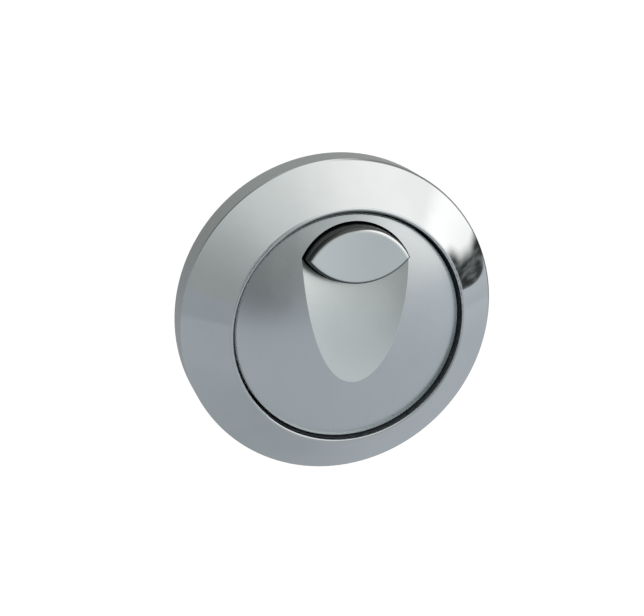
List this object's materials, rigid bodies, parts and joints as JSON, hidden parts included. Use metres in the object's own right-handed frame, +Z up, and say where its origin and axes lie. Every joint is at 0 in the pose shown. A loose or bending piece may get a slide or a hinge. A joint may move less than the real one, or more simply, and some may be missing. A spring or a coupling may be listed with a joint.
{
  "type": "push button cistern actuator",
  "caption": "Round panel-mounted dual-flush push button: conical chrome bezel, satin dome with a finger scoop, eye-shaped half-flush button, air bellows, back nut and barbed hose tails.",
  "frame": {"origin": "on the axis of the barrel, at the front face of the panel it is fixed to", "axes": "+Y into the panel, away from the user; the face looks to -Y; +Z up, with the eye-shaped button on the upper side"},
  "size_m": [0.075, 0.0589, 0.075],
  "materials": {
    "polished_chrome": "mirror-polished chrome plating on moulded ABS",
    "satin_chrome": "satin chrome plating on moulded ABS",
    "grey_plastic": "fine moulded texture",
    "white_plastic": "smooth moulded",
    "tail_plastic": "smooth moulded",
    "black_rubber": "matt moulded",
    "foam_rubber": "closed-cell foam",
    "spring_steel": "drawn wire",
    "screw_steel": "zinc plated"
  },
  "bodies": {
    "housing": {"bezel": "polished_chrome", "panel_seal": "foam_rubber", "body": "grey_plastic", "nut_washer": "black_rubber", "back_nut": "white_plastic", "end_cap": "grey_plastic", "end_cap_screws": "screw_steel", "full_bellows": "black_rubber", "half_bellows": "black_rubber", "full_return_spring": "spring_steel", "half_return_spring": "spring_steel", "full_tail_seal": "black_rubber", "full_hose_tail": "tail_plastic", "half_tail_seal": "black_rubber", "half_hose_tail": "tail_plastic"},
    "full_flush": {"full_button": "satin_chrome", "full_carrier": "white_plastic", "full_button_screws": "screw_steel", "full_push_plate": "white_plastic", "full_push_screw": "screw_steel"},
    "half_flush": {"half_button": "satin_chrome", "half_plunger": "white_plastic"}
  },
  "joints": [
    {"name": "full_press", "type": "slide", "parent": "housing", "child": "full_flush", "axis": [0, 1, 0], "range_m": [0, 0.005], "stiffness_N_per_m": 1500, "springref_m": -0.003, "deforming": ["full_bellows", "full_return_spring"]},
    {"name": "half_press", "type": "slide", "parent": "housing", "child": "half_flush", "axis": [0, 1, 0], "range_m": [0, 0.005], "stiffness_N_per_m": 1500, "springref_m": -0.003, "deforming": ["half_bellows", "half_return_spring"]}
  ]
}
